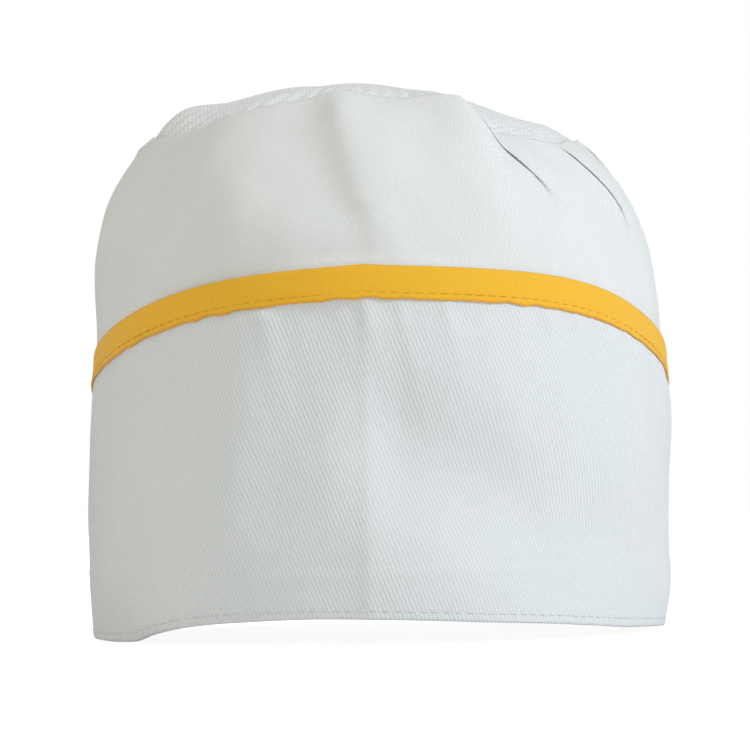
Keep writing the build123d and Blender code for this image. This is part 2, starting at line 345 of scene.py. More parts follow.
def crown_profile(s):
    """Foot height, shoulder height, inward reach and rise of the shoulder's arc."""
    phi = angle_at(s)
    behind = smooth((np.abs(wrapped(s)) - BAND_END) / 0.6 + 0.5)
    foot = seam_height(s) + FOOT_CLEAR * behind - FOOT_TUCK * (1 - behind)
    shoulder = np.maximum(CREST - keyed(SHOULDER_DROP, phi), foot + 2)
    reach = (1 - keyed(RIM_SHARE, phi)) / (1 - math.cos(RIM_ANGLE))
    rise = (CREST - keyed(RIM_DROP, phi) - shoulder) / math.sin(RIM_ANGLE)
    return foot, shoulder, reach, rise


def crown_length(s):
    """Length of the wall from its foot to its rim, and of its upright part."""
    foot, shoulder, reach, rise = crown_profile(s)
    x, y, _, _ = plan(s, CROWN_IN)
    radius = np.hypot(x, y - CENTRE_Y)
    arc = RIM_ANGLE * np.sqrt(((reach * radius) ** 2 + rise**2) / 2)
    return shoulder - foot + arc, shoulder - foot


def on_shape(s, down, out=0.0):
    """Points of the crown's plain shape, down from its rim, at an offset along its normal."""
    s, down, out = np.broadcast_arrays(s, down, out)
    foot, shoulder, reach, rise = crown_profile(s)
    length, upright = crown_length(s)
    along = length - down
    turn = RIM_ANGLE * np.maximum(along - upright, 0) / (length - upright)
    x, y, nx, ny = plan(s, CROWN_IN)
    share = 1 - reach * (1 - np.cos(turn))
    z = np.where(along < upright, foot + along, shoulder + rise * np.sin(turn))
    x, y = x * share, CENTRE_Y + (y - CENTRE_Y) * share
    level = out * np.cos(turn) + waist(s, z)
    return stacked(x + nx * level, y + ny * level, z + out * np.sin(turn))


# the crown's crease: down from the rim, and how far left of the brow
CREASE = [(0, 15.3), (6, 13), (20, 8.4), (37, 3.9), (49, 1.1), (57, -2.3), (66, -3.4), (73, -2.5), (80, 0)]


def dents(s, down):
    """How far the crown's cloth stands out from its plain shape."""
    length, _ = crown_length(s)
    place = on_shape(s, down)
    s = wrapped(s)
    to_trim = length - FOOT_TUCK - down
    crease = s + through(CREASE, down)
    run = 13 - 8 * smooth((down - 30) / 45)
    out = soft_edge(crease, 0.58, run) * (0.35 + 0.65 * smooth(down / 16))
    out += 1.5 * bell(crease + 36, 16) * bell(down - 42, 26)
    out -= 0.8 * bell(s + 84, 20) * smooth(down / 20)
    out += 0.9 * bell(s - 40, 20) * bell(down - 30, 28)
    out -= 1.0 * bell(s - 22, 12) * smooth(down / 25)
    out += 1.6 * bell(s - 140, 45) * bell(down - 24, 18)
    out -= 1.2 * bell(s - 76 - 0.45 * down, 12) * smooth(down / 12)
    out += 0.5 * unevenness(place, 21, 8, 45, 120) + 0.13 * unevenness(place, 22, 16, 11, 30)
    out += 0.8 * puckers(CROWN_PUCKERS, s, to_trim, -0.1)
    return out * smooth(to_trim / 4)  # nothing under the trim


def on_crown(s, down, out=0.0):
    return on_shape(s, down, out + dents(s, down))


# Pleats: angle of the fold at the rim, its drift over its length, its length down from the rim and how wide
# its overlap is. The last number is 1 where the fold's edge faces the brow on the +X side, and -1 on the other.
PLEATS = [
    (31.0, 13.5, 33, 8.0, 1),
    (62.0, 4.0, 42, 9.0, 1),
    (97, 3.0, 36, 8.0, 1),
    (137, 2.0, 32, 8.0, 1),
    (-78, 0.0, 9, 2.4, -1),
    (-117, -3.0, 36, 8.0, -1),
    (-152, -2.0, 30, 8.0, -1),
]
PLEAT_REACH = 20.0  # half the width of the cloth that a pleat moves
PLEAT_STEP = 0.3  # from the middle of one layer of a pleat to the next
PLEAT_PUFF = 0.7  # how far a pleat stands proud below the rim


def rounded(points):
    """Cuts a path's corners again and again, keeping its two ends."""
    for _ in range(4):
        near, far = 0.75 * points[:-1] + 0.25 * points[1:], 0.25 * points[:-1] + 0.75 * points[1:]
        points = chained(points[:1], np.stack([near, far], 1).reshape(-1, 2)[1:-1], points[-1:])
    return points


def pleat_points(overlap):
    """Cloth folded back and forth: place across and layer of its points."""
    half, reach = overlap / 2, PLEAT_REACH
    path = [(-reach, 0), (-0.6 * reach, 0.3), (-half - 1.5, 1.25), (-half - 0.36, 1.45), (-half - 0.3, 0.75)]
    path += [(-0.95 * half, 0), (-0.8 * half, 0), (half, 0), (half + 0.35, 0.5), (half, 1), (-half, 1)]
    path += [(-half - 0.35, 1.5), (-half, 2.05), (half, 1.9), (0.6 * reach, 0.5), (reach, 0)]
    return rounded(np.array(path, float))


def pleat_path(overlap):
    """Folded cloth: share along from -1 to 1, place across, place across with no overlap left, and layer."""
    path = pleat_points(overlap)
    along = chained([0], np.cumsum(np.hypot(*(np.diff(path, axis=0) * (1, PLEAT_STEP)).T)))
    return 2 * along / along[-1] - 1, path[:, 0], pleat_points(0)[:, 0], path[:, 1]


def pleat_turns(overlap):
    """Places along a folded path, close together where it turns."""
    along, place, _, layer = pleat_path(overlap)
    way = np.unwrap(np.arctan2(np.diff(layer) * PLEAT_STEP, np.diff(place)))
    turned = chained([0, 0], np.cumsum(np.abs(np.diff(way))))
    effort = (along + 1) * PLEAT_REACH / 1.3 + turned / 0.42
    return np.interp(np.linspace(0, effort[-1], int(effort[-1]) + 2), effort, along)


def pleat_middle(pleat, down):
    degrees, drift, long, _, _ = pleat
    return distance_at(degrees + drift * np.clip(down / long, 0, 1))


def folded(s, down):
    """Where the crown's cloth at s really lies, and how far out, with its pleats laid."""
    across, out = s, 0 * s
    for pleat in PLEATS:
        _, _, long, overlap, side = pleat
        along, place, opened, layer = pleat_path(overlap)
        middle = pleat_middle(pleat, down)
        flat = side * (s - middle)
        t = flat / PLEAT_REACH
        inside = np.abs(t) < 1
        laid = (1 - np.clip(down / long, 0, 1)) ** 0.75
        # down from the rim the overlap shrinks first, and then the layers sink
        overlapped, raised = np.clip((laid - 0.45) / 0.55, 0, 1), smooth(laid / 0.5)
        folded_place = overlapped * np.interp(t, along, place) + (1 - overlapped) * np.interp(t, along, opened)
        moved = (1 - raised) * flat + raised * folded_place
        across = np.where(inside, middle + side * moved, across)
        puff = PLEAT_PUFF * bell(flat, 5) * smooth(down / 7) * smooth(1.3 - down / long)
        out += np.where(inside, raised * np.interp(t, along, layer) * PLEAT_STEP + puff, 0)
    return across, out


# ---- meshes. Parts are points in millimetres, quads, a UV for each corner, and which quads are smooth ----
def in_scene(name, data):
    made = bpy.data.objects.new(name, data)
    bpy.context.scene.collection.objects.link(made)
    return made


def mesh_object(name, points, faces, uv, soft):
    mesh = bpy.data.meshes.new(name)
    mesh.from_pydata((points.reshape(-1, 3) * MM).tolist(), [], faces.tolist())
    mesh.uv_layers.new(name="cloth").data.foreach_set("uv", np.asarray(uv, np.float32).ravel())
    mesh.polygons.foreach_set("use_smooth", soft)
    return in_scene(name, mesh)


def join_parts(parts):
    """Several parts as one."""
    points, faces, uv, soft = zip(*parts)
    start = np.cumsum([0] + [len(p) for p in points])
    faces = [face + first for face, first in zip(faces, start)]
    return tuple(map(np.concatenate, (points, faces, uv, soft)))


def quads(grid):
    """The corners of each quad of a grid."""
    found = np.stack([grid[:-1, :-1], grid[:-1, 1:], grid[1:, 1:], grid[1:, :-1]], 2)
    return found.reshape(-1, 4, *grid.shape[2:])


def shell(outer, inner, uv, wrap=False):
    """A closed sheet from grids of points, rows upwards and columns towards +X at the brow."""
    rows, columns, _ = outer.shape
    count = columns - wrap
    below = rows * count
    index = np.arange(rows)[:, None] * count + np.arange(columns) % count
    faces, corner_uv = [quads(index), quads(index)[:, ::-1] + below], [quads(uv), quads(uv)[:, ::-1]]
    borders = [(index[0, ::-1], uv[0, ::-1]), (index[-1], uv[-1])]
    if not wrap:
        borders += [(index[:, 0], uv[:, 0]), (index[::-1, -1], uv[::-1, -1])]
    for border, at in borders:
        faces.append(quads(np.stack([border, border + below])))
        corner_uv.append(quads(np.stack([at, at])))
    points = chained(outer[:, :count].reshape(-1, 3), inner[:, :count].reshape(-1, 3))
    faces = np.concatenate(faces)
    return points, faces, np.concatenate(corner_uv), np.arange(len(faces)) < 2 * (rows - 1) * (columns - 1)


def tubes(paths, radii, normals, sides=6):
    """Closed tubes along many paths of equal length."""
    count, steps, _ = paths.shape
    along = unit(np.gradient(paths, axis=1))
    side = unit(np.cross(normals, along))
    over = np.cross(along, side)
    turn = np.arange(sides) * TURN / sides
    ring = np.cos(turn)[:, None] * over[:, :, None] + np.sin(turn)[:, None] * side[:, :, None]
    points = paths[:, :, None] + ring * radii[..., None, None]
    last = (steps - 1) * sides
    caps = [[0, k + 2, k + 1, k] for k in range(1, sides - 1, 2)]
    caps += [[last, last + k, last + k + 1, last + k + 2] for k in range(1, sides - 1, 2)]
    one = chained(quads(np.arange(steps)[:, None] * sides + np.arange(sides + 1) % sides), caps)
    faces = (one + (np.arange(count) * steps * sides)[:, None, None]).reshape(-1, 4)
    run = np.concatenate([np.zeros((count, 1)), np.cumsum(np.linalg.norm(np.diff(paths, axis=1), axis=-1), 1)], 1)
    uv = stacked(run[:, :, None], np.arange(sides) / sides).reshape(-1, 2)
    return points.reshape(-1, 3), faces, uv[faces], np.ones(len(faces), bool)


def stitch_tubes(surface, s, z, upright=False, thread=0.17):
    """Stitches on a surface, each dipping in at both ends. z is a height, or a function of s for level rows."""
    t = np.linspace(-1, 1, 7)
    s = s[:, None]
    if upright:
        across, heights = s + 0 * t, z[:, None] + STITCH / 2 * t
    else:
        across = s + STITCH / 2 * t
        heights = z(across) if callable(z) else z + 0 * across
    lift = 0.12 - 0.34 * t**6 + 0 * across
    base = surface(across, heights, lift)
    normals = unit(surface(across, heights, lift + 1) - base)
    return tubes(base, thread * (1 - 0.3 * t**4) + 0 * across, normals)


def spaced(start, end):
    """Middles of the stitches of a row."""
    count = max(2, int(round((end - start) / STITCH_PITCH)))
    return start + (end - start) * (np.arange(count) + 0.5) / count


def stitch_frame(surface, s_range, s_in, z_range, z_in):
    """Four rows of stitches round a patch, inside its edges."""
    s0, s1, z0, z1 = s_range[0] + s_in, s_range[1] - s_in, z_range[0] + z_in, z_range[1] - z_in
    level, rise = spaced(s0, s1), spaced(z0, z1)
    parts = [stitch_tubes(surface, level, z) for z in (z0, z1)]
    return join_parts(parts + [stitch_tubes(surface, np.full(len(rise), s), rise, True) for s in (s0, s1)])


# ---- finishes ----
def node(tree, kind, output=0, inputs=(), **settings):
    """Adds a shader node and gives back one of its outputs."""
    made = tree.nodes.new("ShaderNode" + kind)
    for key, value in settings.items():
        setattr(made, key, value)
    for key, value in dict(inputs).items():
        if isinstance(value, bpy.types.NodeSocket):
            tree.links.new(value, made.inputs[key])
        else:
            made.inputs[key].default_value = value
    return made.outputs[output]


def calc(tree, operation, *values):
    return node(tree, "Math", inputs=dict(enumerate(values)), operation=operation)


def weighted(tree, *pairs):
    """Sum of each value times its weight."""
    total = 0.0
    for value, weight in pairs:
        total = calc(tree, "MULTIPLY_ADD", value, weight, total)
    return total


def wave(tree, phase):
    """0 to 1 and back as the phase goes up by 1."""
    return calc(tree, "MULTIPLY_ADD", calc(tree, "SINE", calc(tree, "MULTIPLY", phase, TURN)), 0.5, 0.5)


def noise(tree, vector, scale, detail=2.0, roughness=0.5, stretch=None):
    if stretch:
        vector = node(tree, "Mapping", 0, {"Vector": vector, "Scale": stretch})
    return node(tree, "TexNoise", 0, {"Vector": vector, "Scale": scale, "Detail": detail, "Roughness": roughness})


def cells(tree, vector, scale, randomness=1.0):
    return node(tree, "TexVoronoi", 0, {"Vector": vector, "Scale": scale, "Randomness": randomness})


def between(tree, value, start, end, most):
    """0 at start, and as much as most at end."""
    return node(tree, "MapRange", 0, {0: value, 1: start, 2: end, 3: 0.0, 4: most})


def blended(tree, share, first, second):
    return node(tree, "Mix", 2, {0: share, 6: first, 7: (*second, 1)}, data_type="RGBA")


def ramp(tree, value, *stops):
    """Colours blended by a value. stops are (position, colour)."""
    found = node(tree, "ValToRGB", 0, {"Fac": value})
    for element, (position, colour) in zip(found.node.color_ramp.elements, stops):
        element.position, element.color = position, (*colour, 1)
    return found


def cloth_uv(tree):
    """Distance along and up the cloth, in millimetres."""
    uv = node(tree, "UVMap", uv_map="cloth")
    split = node(tree, "SeparateXYZ", 0, {0: uv})
    return uv, split, split.node.outputs[1]


def new_material(name, **sockets):
    """A material, its tree and its shader's inputs."""
    material = bpy.data.materials.new(name)
    material.use_nodes = True
    inputs = material.node_tree.nodes["Principled BSDF"].inputs
    for key, value in sockets.items():
        inputs[key.replace("_", " ")].default_value = value
    return material, material.node_tree, inputs


def finish(name, slot, bump, pattern, *details, **sockets):
    """A material and its slot. The pattern gives a colour and a height, and bump is its depth in millimetres."""
    material, tree, inputs = new_material(name, **sockets)
    colour, height = pattern(tree, *details)
    tree.links.new(colour, inputs["Base Color"])
    relief = node(tree, "Bump", 0, {"Height": height, "Distance": bump * MM, "Strength": 1.0})
    tree.links.new(relief, inputs["Normal"])
    return material, slot


LINT, LINT_PER_MM = (0.33, 0.35, 0.34), 0.034


def twill(tree, lean, pitch, dark, light, strength=0.42):
    """Slanting ridges of twill, with the yarns that cross them, and specks of lint. The grooves between the ridges
    are painted darker, as painted shade, over the yarn's own uneven tone.
    """
    uv, u, v = cloth_uv(tree)
    wander = noise(tree, uv, 0.05)
    slub = noise(tree, uv, 1.0, 4.0, stretch=(1.6, 0.22, 1))
    phase = weighted(tree, (u, 1 / pitch), (v, lean / pitch), (wander, 0.5), (slub, 0.3))
    ridge = calc(tree, "POWER", wave(tree, phase), 0.7)
    yarn = wave(tree, weighted(tree, (u, 0.5 / pitch), (v, -1.9 / pitch), (slub, 0.9)))
    grain = noise(tree, uv, 1.1)
    height = weighted(tree, (ridge, 0.6), (calc(tree, "MULTIPLY", ridge, yarn), 0.5), (slub, 0.3), (grain, 0.3))
    patchy = noise(tree, uv, 0.035)
    # painted shade in the grooves from the ridge and yarn waves, mixed with the yarn's own slubs and patches
    groove_shade_and_tone = weighted(tree, (ridge, strength), (slub, 0.25), (yarn, 0.3 * strength), (patchy, 0.2), (grain, 0.15))
    colour = ramp(tree, groove_shade_and_tone, (0.1, dark), (0.38 + strength, light))
    lint = between(tree, cells(tree, uv, LINT_PER_MM), 0.009, 0.003, 0.75)
    return blended(tree, lint, colour, LINT), height


def plain_weave(tree, pitch, dark, light):
    uv, u, v = cloth_uv(tree)
    wander = noise(tree, uv, 0.3, 3.0)
    across, upward = (calc(tree, "SINE", weighted(tree, (way, math.pi / pitch), (wander, 1.5))) for way in (u, v))
    over = calc(tree, "ABSOLUTE", calc(tree, "MULTIPLY", across, upward))
    slub = noise(tree, uv, 1.3, 4.0)
    height = weighted(tree, (over, 0.7), (slub, 0.5))
    return ramp(tree, weighted(tree, (over, 0.5), (slub, 0.7)), (0.2, dark), (0.95, light)), height


def trim_weave(tree, dark, light, rim):
    """Plain woven tape, with painted shade in a deeper orange along its folded lower edge and along its top edge
    at the seam.
    """
    colour, height = plain_weave(tree, 0.55, dark, light)
    _, _, v = cloth_uv(tree)
    # painted shade: deeper orange within half a millimetre of the fold and near the seam
    low, high = between(tree, v, 0.5, 0.05, 0.75), between(tree, v, TRIM_TALL - 0.9, TRIM_TALL - 0.2, 0.4)
    return blended(tree, calc(tree, "MAXIMUM", low, high), colour, rim), height


def fibres(tree, scale, dark, light):
    """Matted or looped fibres, with no weave."""
    uv, _, _ = cloth_uv(tree)
    tufts = cells(tree, uv, scale, 0.9)
    tangle = noise(tree, uv, scale * 2.2, 5.0, 0.65)
    height = weighted(tree, (tufts, -0.6), (tangle, 0.8))
    return ramp(tree, weighted(tree, (tufts, -0.3), (tangle, 1.1)), (0.2, dark), (0.7, light)), height


def twisted(tree, turns, dark, light):
    """Plies of a thread, twisted round each other."""
    _, u, v = cloth_uv(tree)
    ply = wave(tree, weighted(tree, (u, turns), (v, 2.0)))
    return ramp(tree, ply, (0.0, dark), (0.8, light)), ply


def grained(tree, scale, stretch, dark, light):
    """The grain of plastic, or the long floats of satin."""
    grain = noise(tree, cloth_uv(tree)[0], scale, 3.0, stretch=stretch)
    return ramp(tree, grain, (0.3, dark), (0.7, light)), grain


# in the twill, GREY and COOL_GREY colour the grooves, as painted shade
WHITE, GREY = (0.815, 0.818, 0.815), (0.67, 0.682, 0.68)
COOL_WHITE, COOL_GREY = (0.808, 0.82, 0.835), (0.66, 0.682, 0.7)
TAPE_GREY = tuple(dark + (light - dark) * 0.2 for dark, light in zip(GREY, WHITE))
# the third trim colour is painted shade for the tape's fold and seam edges
YELLOW, AMBER, EDGE_SHADE_ORANGE = (0.99, 0.55, 0.03), (0.96, 0.5, 0.02), (0.82, 0.36, 0.02)
COTTON = dict(Roughness=0.82, Sheen_Weight=0.12, Sheen_Roughness=0.5, Specular_IOR_Level=0.25)
NET_SHINE = dict(Roughness=0.5, Sheen_Weight=0.2, Specular_IOR_Level=0.5)
TAPE_SHINE = dict(Roughness=0.7, Sheen_Weight=0.15, Specular_IOR_Level=0.3)

band_cloth = finish("band twill", "white_twill", 0.11, twill, 0.4, 1.22, COOL_GREY, COOL_WHITE, 0.4, **COTTON)
crown_cloth = finish("crown twill", "white_twill", 0.035, twill, -0.33, 1.05, GREY, WHITE, 0.14, **COTTON)
strap_cloth = finish("strap twill", "white_twill", 0.15, twill, 0.36, 1.2, GREY, WHITE, **COTTON)
lining_cloth = finish("lining", "white_lining", 0.12, plain_weave, 0.8, GREY, WHITE, **COTTON)
binding_cloth = finish("binding tape", "white_binding", 0.14, plain_weave, 0.7, TAPE_GREY, WHITE, **COTTON)
stiffener_felt = finish("matted stiffener", "stiffener", 0.15, fibres, 1.2, (0.6, 0.61, 0.6), (0.8, 0.81, 0.8),
                        **COTTON)
towel_cloth = finish("towelling", "towelling", 0.5, fibres, 1.1, (0.55, 0.57, 0.55), WHITE, **COTTON)
net_yarn = finish("net yarn", "white_net", 0.05, twisted, 1.4, (0.82, 0.84, 0.85), (0.93, 0.94, 0.95),
                  **NET_SHINE)
yellow_cloth = finish("yellow tape", "yellow_tape", 0.12, trim_weave, AMBER, YELLOW, EDGE_SHADE_ORANGE, **TAPE_SHINE)
white_thread = finish("white thread", "white_thread", 0.05, twisted, 1.5, (0.78, 0.8, 0.79), (0.9, 0.91, 0.9),
                      Roughness=0.5)
yellow_thread = finish("yellow thread", "yellow_thread", 0.05, twisted, 1.5, (0.84, 0.42, 0.02),
                       (0.95, 0.5, 0.03), Roughness=0.5)
pile = finish("loop pile", "loop_pile", 0.15, fibres, 2.0, (0.66, 0.68, 0.67), (0.84, 0.85, 0.84), Roughness=0.6)
plastic = finish("hook plastic", "hook_plastic", 0.03, grained, 2.0, None, (0.74, 0.76, 0.75),
                 (0.85, 0.86, 0.85), Roughness=0.35)
label_satin = finish("label satin", "label_satin", 0.04, grained, 1.0, (0.5, 9, 1), (0.72, 0.73, 0.73),
                     (0.88, 0.88, 0.88), Roughness=0.4)


def dress(name, parts, cloth, nodes, body="cap"):
    piece = mesh_object(name, *parts)
    material, slot = cloth
    piece.data.materials.append(material)
    if body:
        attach(piece, body)
    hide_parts(*nodes.split())
    return piece


# ---- the band's layers ----
HEM_ROLL = 0.8  # outer radius of the folded hem and of the folded ends
half_turn = np.radians(np.linspace(180, 0, 9))


def band_columns(step_front, step_back, margin):
    """Places along the band, closer together in front."""
    end = BAND_END - margin
    front = min(150.0, end)
    middle = np.linspace(-front, front, int(2 * front / step_front) + 1)
    rest = np.linspace(front, end, int((end - front) / step_back) + 2)[1:]
    return chained(-rest[::-1], middle, rest)


def band_heights(s, low, middle, high):
    """Rows of heights: some up from the hem, some spread between, and some down from the seam."""
    foot, top = hem_height(s), seam_height(s)
    start, end = foot + low[-1], top - high[0]
    spread = start + (end - start) * np.linspace(0, 1, middle + 2)[1:-1, None]
    return chained(foot + low[:, None], spread, top - high[:, None])


def band_outer():
    """The outer cloth, folded in at the hem and at both ends."""
    inside = band_columns(1.12, 1.7, HEM_ROLL)
    share = chained([-1], np.cos(half_turn))  # of the way from the inner to the outer leg of a fold
    end_share = chained(share, np.ones(len(inside) - 2), share[::-1])
    above = [1.1, 1.4, 1.7, 2.0, 2.25, 2.5, 2.75, 3.0, 3.4, 4.0, 4.8, 6.0]
    high = chained(np.linspace(26, TRIM_TALL, 15), [7, 4, 0])
    grids = []
    for radius in (HEM_ROLL, HEM_ROLL - TWILL):
        depth = chained([0.2], -radius * np.sin(half_turn))
        s = chained(inside[0] + depth, inside[1:-1], inside[-1] - depth[::-1])
        z = band_heights(s, chained(HEM_ROLL + depth, above), 52, high)
        row_share = chained(share, np.ones(len(z) - len(share)))
        fold = np.minimum(row_share[:, None], end_share[None])
        grids.append((on_band(s, z, radius * fold - HEM_ROLL), stacked(s, z)))
    return shell(grids[0][0], grids[1][0], grids[0][1])


def band_layer(outside, thick, low, high, step, rows):
    """A plain layer inside the band."""
    s = band_columns(step, step, 1.0)
    z = band_heights(s, np.array([low]), rows, np.array([high]))
    return shell(on_band(s, z, outside), on_band(s, z, outside - thick), stacked(s, z))


def sweatband():
    s = band_columns(1.5, 1.5, 1.0)
    foot = hem_height(s) + 0.6
    x, y, _, _ = plan(s)
    rows = chained(np.linspace(0, 0.94, 14), [0.97, 0.99, 1.0])[:, None]
    z = foot + (sweat_top(x, y) - 0.3 - foot) * rows
    fluff = 0.1 * unevenness(stacked(x, y, z), 31, 10, 2.6, 5)
    thick = TOWELLING * np.minimum(1, 0.35 + 12 * (1 - rows)) * np.minimum(1, 0.6 + 8 * rows)
    return shell(on_band(s, z, SWEAT_IN), on_band(s, z, SWEAT_IN - thick + fluff), stacked(s, z))


# ---- tapes folded over an edge ----
def folded_tape(s, legs, thick, ply, layer, lowest_v=-np.inf):
    """A tape folded along its lower edge. layer places its rows, from the height above the fold's centre and
    the share of the way from the inner to the outer leg."""
    grids = []
    for radius in (thick / 2, thick / 2 - ply):
        share = chained(-np.ones(len(legs) - 1), np.cos(half_turn), np.ones(len(legs) - 1))
        up = chained(legs[:0:-1], -radius * np.sin(half_turn), legs[1:])
        grids.append(layer(up[:, None], share[:, None], radius))
    run = chained(-np.array(legs[:0:-1]), 0 * half_turn, legs[1:])[:, None]
    return shell(*grids, stacked(s, np.maximum(run, lowest_v)))


def trim_tape():
    s = band_columns(1.12, 1.5, 0.1)
    draw = np.random.default_rng(5)
    waves = [(draw.uniform(5, 16), draw.uniform(0, TURN), draw.uniform(0.03, 0.1)) for _ in range(9)]
    ragged = sum(size * np.sin(TURN * s / length + start) for length, start, size in waves)
    ragged = ragged + 0.07 * np.cos(TURN * s / STITCH_PITCH)
    seam = seam_height(s)
    wavy = 0.12 * unevenness(on_band(s, seam), 41, 8, 18, 60)

    def layer(up, share, radius):
        z = seam - TRIM_TALL + TRIM_THICK / 2 + up + ragged * (1 - smooth(up / 5))
        puff = 0.1 * np.sin(math.pi * np.clip(up / 9, 0, 1)) - 0.1 * bell(up - 1.7, 0.7)
        puff = puff - 0.25 * bell(up - 9.2, 0.8) + wavy
        out = share * radius + np.where(share > 0.9, puff, 0)
        return on_band(s, z, LAYER_GAP + TRIM_THICK / 2 + out)

    legs = [0.0, 0.5, 1.0, 1.6, 2.0, 2.3, 2.7, 3.2, 4.0, 5.0, 6.2, 7.2, 8.0, 8.7, 9.1]
    return folded_tape(s, legs, TRIM_THICK, TRIM_PLY, layer, 0.0)


def vent_binding():
    reach = BACK - BAND_END - 0.3
    s = BACK + np.linspace(-reach, reach, 45)
    length, _ = crown_length(s)

    def layer(up, share, radius):
        ease = 0.12 * np.sin(TURN * s / 5.2) * smooth(up / 3)
        points = on_crown(s, length - np.maximum(up, 0), share * radius + ease)
        # the crown's shape starts at its foot, so what lies under that is dropped straight down
        points[..., 2] += np.minimum(up, 0)
        return points

    legs = [0.0, 0.5, 1.5, 2.5, 3.5, 4.5, 5.5, 6.0, 6.5, 7.0, 7.3]
    return folded_tape(s, legs, BINDING_THICK, TAPE_PLY, layer)


# ---- the crown ----
def crown_columns():
    """Places round the rim, close together where a pleat turns and at the ends of the opening."""
    kept = np.arange(-BACK, BACK - 1.0, 1.75)
    for pleat in PLEATS:
        middle = pleat_middle(pleat, 0)
        turns = middle + pleat[4] * pleat_turns(pleat[3]) * PLEAT_REACH
        kept = chained(kept[np.abs(kept - middle) > PLEAT_REACH + 0.5], turns)
    edges = [BAND_END * side + step for side in (-1, 1) for step in (-0.5, 0.5)]
    kept = np.sort(chained(kept, edges))
    kept = kept[chained([True], np.diff(kept) > 0.02)]
    return chained(kept, [kept[0] + GIRTH])


def with_drift(s, down):
    """Lets the columns follow the pleats' drift, so that each pleat turns in the same columns all the way."""
    shift = 0 * (s + down)
    for pleat in PLEATS:
        from_rim = np.abs(wrapped(s - pleat_middle(pleat, 0)))
        followed = 1 - np.clip((from_rim - 10) / 27, 0, 1)
        shift += (pleat_middle(pleat, down) - pleat_middle(pleat, 0)) * followed
    return s + shift


def crown_wall():
    s = crown_columns()
    share = chained(np.linspace(0, 0.9, 56), np.linspace(0.9, 1, 10)[1:])[:, None]
    s = with_drift(s, crown_length(s)[0] * (1 - share))
    down = crown_length(s)[0] * (1 - share)
    across, layers = folded(s, down)
    middle = on_crown(across, down, layers)
    run = np.roll(middle[:, :-1], -1, 1) - np.roll(middle[:, :-1], 1, 1)
    normals = unit(np.cross(np.concatenate([run, run[:, :1]], 1), np.gradient(middle, axis=0)))
    half = CROWN_PLY / 2 * np.minimum(1, 0.45 + 60 * (1 - share))[..., None] * normals
    return shell(middle + half, middle - half, stacked(s, -down), True)


def crown_seam_binding():
    s = np.linspace(-BACK, BACK, 281)
    down = np.array([10.6, 10.3, 8, 5.5, 3, 1.6, 1.3])[:, None]
    edge = np.array([0.5, 1, 1, 1, 1, 1, 0.5])[:, None]
    out = SEAM_TAPE_IN + 0.1 * np.sin(TURN * s / 6.1) * smooth((10.6 - down) / 4)
    return shell(on_crown(s, down, out), on_crown(s, down, out - TAPE_PLY * edge), stacked(s, -down), True)


NET_IN = -0.62
NET_PITCH, NET_HOLE, NET_THICK = 1.6, 0.45, 0.32
NET_RADIUS, LAP_RADIUS = 66, 68  # of the rim, about
NET_EDGE = 1.06  # where the net is cut, as a share of the way to the rim
DOME = 13.2
rim_s = distance_at(np.degrees(np.linspace(-math.pi, math.pi, 361)[:-1]))
rim_waves = np.fft.rfft(on_crown(rim_s, 0, NET_IN)[:, 2]) / len(rim_s)


def on_net(a, b, out=0.0):
    """Points of the net. a and b are its shares of the way to the rim, across and along the cap."""
    share = np.hypot(a, b)
    phi = np.arctan2(a, -b)
    s = distance_at(np.degrees(phi))
    rim = on_crown(s, 0, NET_IN)
    inside = np.minimum(share, 1)
    # stretched like a soap film over the rim's heights, then domed, gathered at the rim, and bumpy
    height = np.full(share.shape, rim_waves[0].real)
    for k in range(1, 40):
        turn = k * (phi + math.pi)
        height += 2 * inside**k * (rim_waves[k].real * np.cos(turn) - rim_waves[k].imag * np.sin(turn))
    height += (rim[..., 2] - height) * smooth((inside - 0.93) / 0.07)
    height += DOME * (1 - inside**3)
    gathered = smooth((inside - 0.72) / 0.25) * smooth((1 - inside) / 0.05)
    height += 0.35 * np.sin(61 * phi + 3 * np.sin(3 * phi)) * gathered
    height += 0.7 * unevenness(stacked(a * A, b * B, 0), 51, 8, 35, 90) * (1 - inside**6)
    bumps = 7.0 * bell(np.hypot(a + 0.93, b + 0.1), 0.23) + 1.0 * bell(np.hypot(a - 0.93, b + 0.25), 0.17)
    bumps -= 5.4 * bell(np.hypot(a - 0.62, 0.6 * b), 0.21) + 1.7 * bell(np.hypot(a - 0.15, 0.5 * b), 0.26)
    height += (1 - inside**8) * bumps
    over = stacked(rim[..., 0] * inside, CENTRE_Y + (rim[..., 1] - CENTRE_Y) * inside, height + out)
    lap = on_crown(s, np.maximum(share - 1, 0) * LAP_RADIUS, NET_IN + out)
    return np.where((share > 1)[..., None], lap, over)


